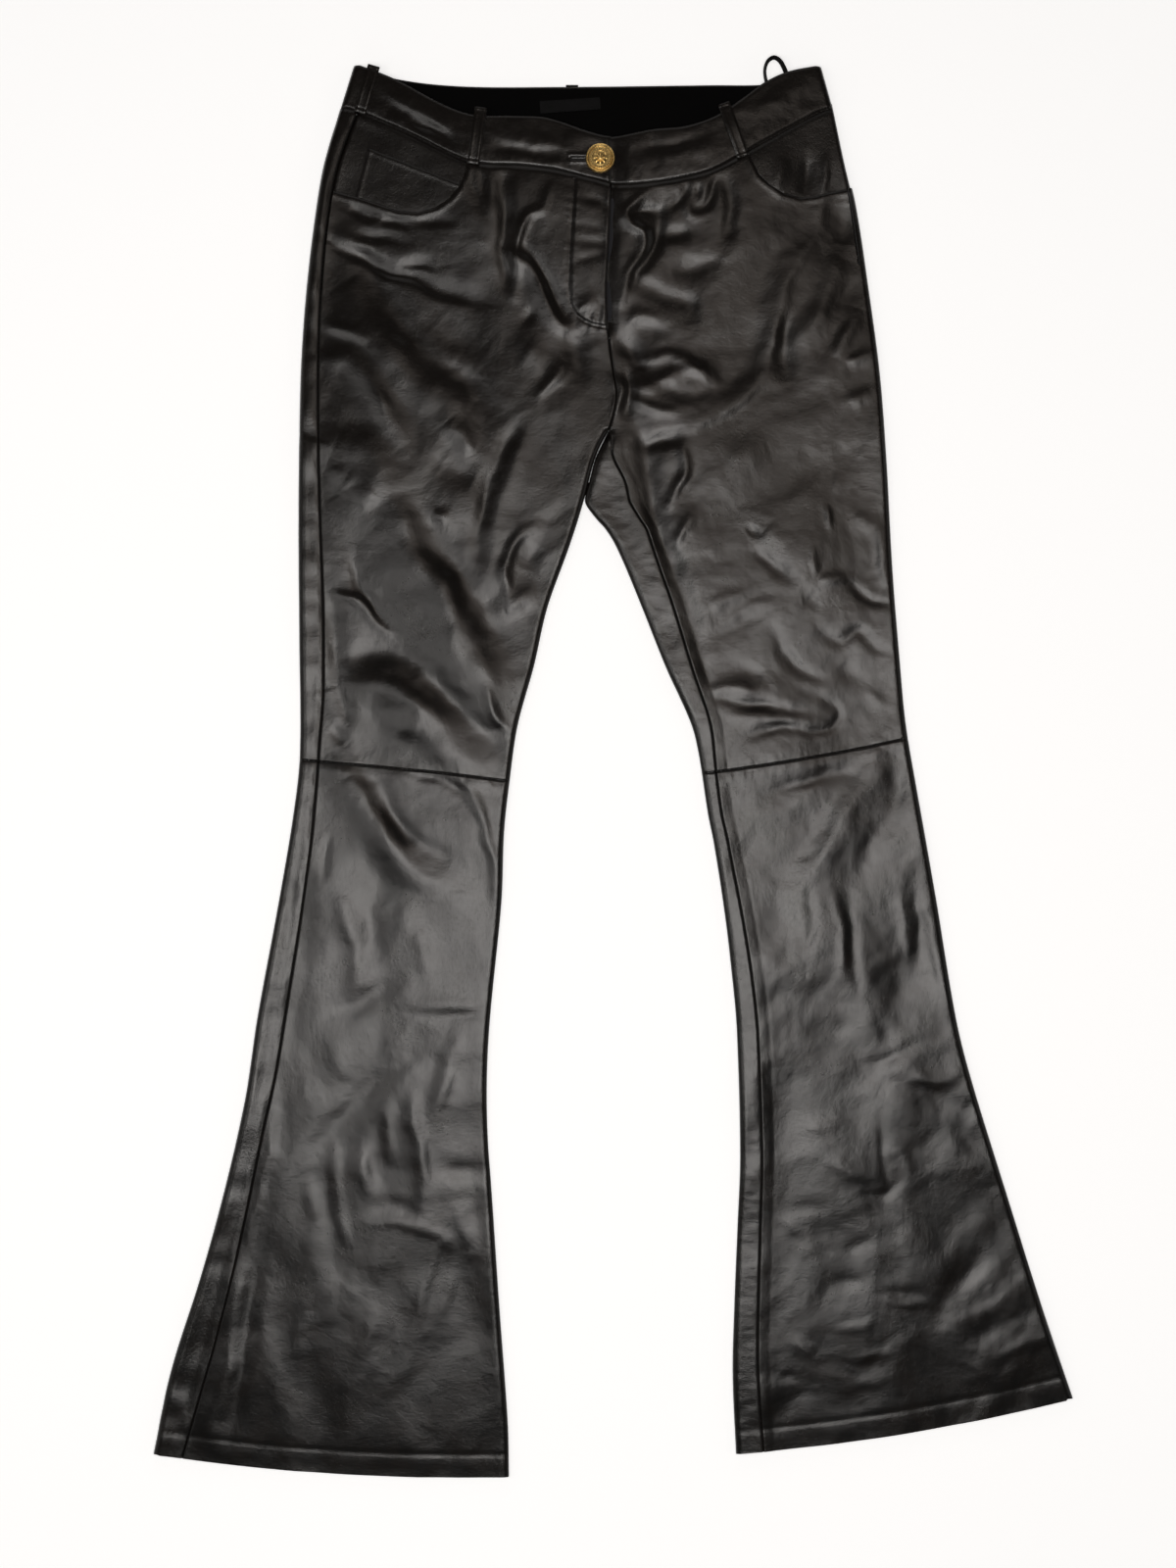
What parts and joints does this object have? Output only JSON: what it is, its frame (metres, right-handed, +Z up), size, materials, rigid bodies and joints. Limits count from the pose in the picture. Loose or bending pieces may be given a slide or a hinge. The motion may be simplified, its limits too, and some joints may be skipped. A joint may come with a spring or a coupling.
{
  "type": "leather trousers",
  "caption": "Black leather trousers laid flat with the front up: low waistband, scooped front pockets, knee seams and flared legs, fastened with a metal button.",
  "frame": {"origin": "centre of the bounding box on the floor that the trousers lie on", "axes": "+Y towards the waistband, +X towards the wearer's left leg, +Z up, out of the front of the trousers"},
  "size_m": [0.7146, 1.1025, 0.016],
  "materials": {
    "leather": "smooth black nappa with a satin sheen",
    "inner_leather": "smooth black nappa, slightly duller",
    "woven_facing": "matte black woven facing",
    "satin_trim": "black satin ribbon and label",
    "zip_tape": "black woven tape",
    "gold_button": "polished gold-coloured metal with worn relief"
  },
  "bodies": {
    "root": {"front_thigh_right": "leather", "back_thigh_right": "leather", "front_thigh_left": "leather", "back_thigh_left": "leather", "front_shin_right": "leather", "back_shin_right": "leather", "front_shin_left": "leather", "back_shin_left": "leather", "pocket_facing_right": "inner_leather", "pocket_facing_left": "inner_leather", "coin_pocket": "inner_leather", "fly_zip": "zip_tape", "waistband_front_right": "leather", "waistband_front_left": "leather", "waistband_back": "leather", "back_facing": "woven_facing", "waist_label": "satin_trim", "hanger_loop": "satin_trim", "button": "gold_button", "belt_loop_front_right": "leather", "belt_loop_front_left": "leather", "belt_loop_side_right": "leather", "belt_loop_side_left": "leather", "belt_loop_centre_back": "leather"}
  },
  "joints": []
}
